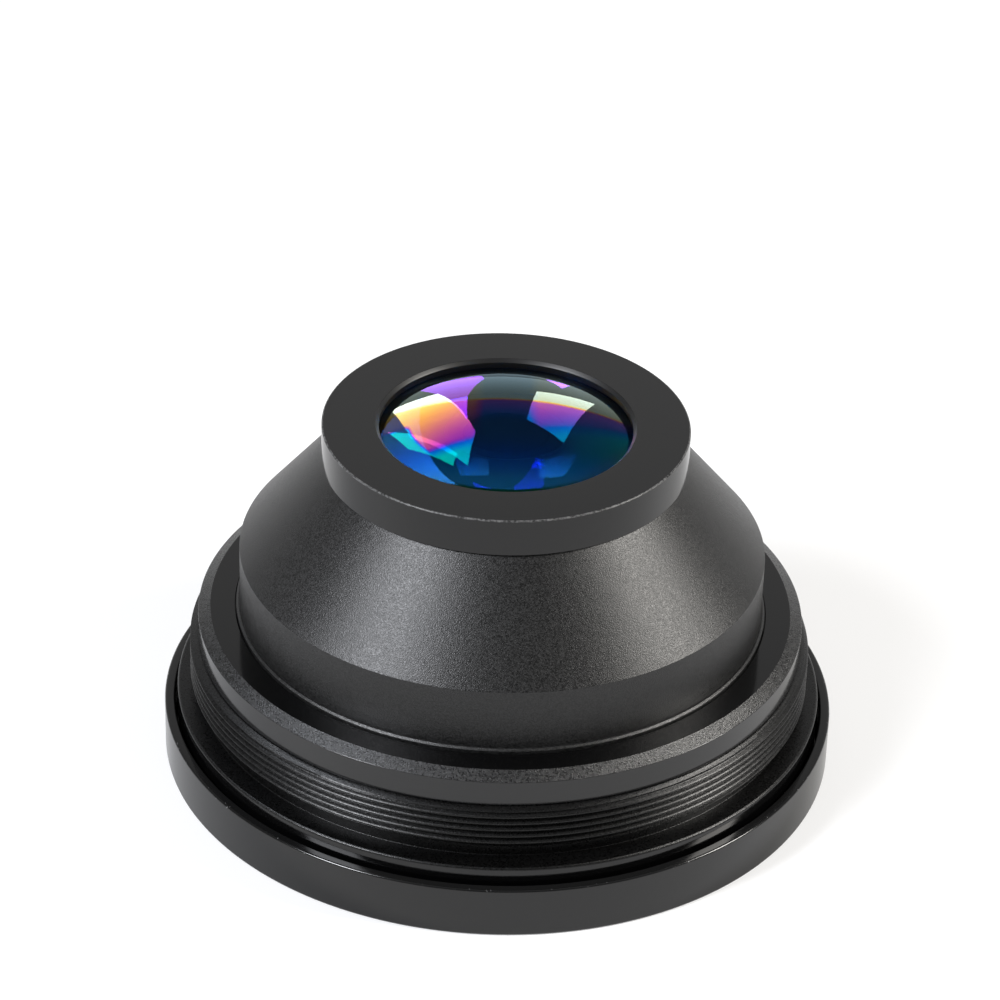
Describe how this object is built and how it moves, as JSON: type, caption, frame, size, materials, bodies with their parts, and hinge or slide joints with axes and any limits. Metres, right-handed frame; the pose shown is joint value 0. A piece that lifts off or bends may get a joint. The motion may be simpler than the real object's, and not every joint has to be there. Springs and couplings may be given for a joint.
{
  "type": "f-theta scan lens",
  "caption": "Laser scan lens with a domed coated entrance glass, blasted cone barrel and threaded scan-head mount, standing in its dust cap.",
  "frame": {"origin": "centre of the underside of the dust cap, on the optical axis", "axes": "+Z along the optical axis towards the entrance end that goes into the scan head; X and Y are free, since every piece is turned"},
  "size_m": [0.0922, 0.0922, 0.0528],
  "materials": {
    "satin_black_anodise": "turned aluminium, satin black anodised",
    "blasted_black_anodise": "fine bead-blasted aluminium, black anodised",
    "inner_black_anodise": "dull black anodised inner ring",
    "cap_plastic": "moulded black plastic, semi matt",
    "coated_glass": "polished optical glass with a blue-violet antireflection coating",
    "window_glass": "flat protective glass, antireflection coated",
    "seal_rubber": "black fluoro rubber O-ring",
    "seal_film": "thin black polymer gasket",
    "shim_steel": "ground steel shim"
  },
  "bodies": {
    "root": {"dust_cap": "cap_plastic", "main_housing": "satin_black_anodise", "cone_barrel": "blasted_black_anodise", "entrance_ring": "satin_black_anodise", "entrance_gasket": "seal_film", "entrance_lens": "coated_glass", "second_lens": "coated_glass", "stepped_spacer": "inner_black_anodise", "third_lens": "coated_glass", "third_lens_o_ring": "seal_rubber", "third_lens_retainer": "inner_black_anodise", "barrel_shim": "shim_steel", "barrel_o_ring": "seal_rubber", "stray_light_baffle": "inner_black_anodise", "field_lens": "coated_glass", "field_lens_o_ring": "seal_rubber", "field_lens_retainer": "inner_black_anodise", "window_o_ring": "seal_rubber", "protective_window": "window_glass", "window_retaining_ring": "inner_black_anodise"}
  },
  "joints": []
}
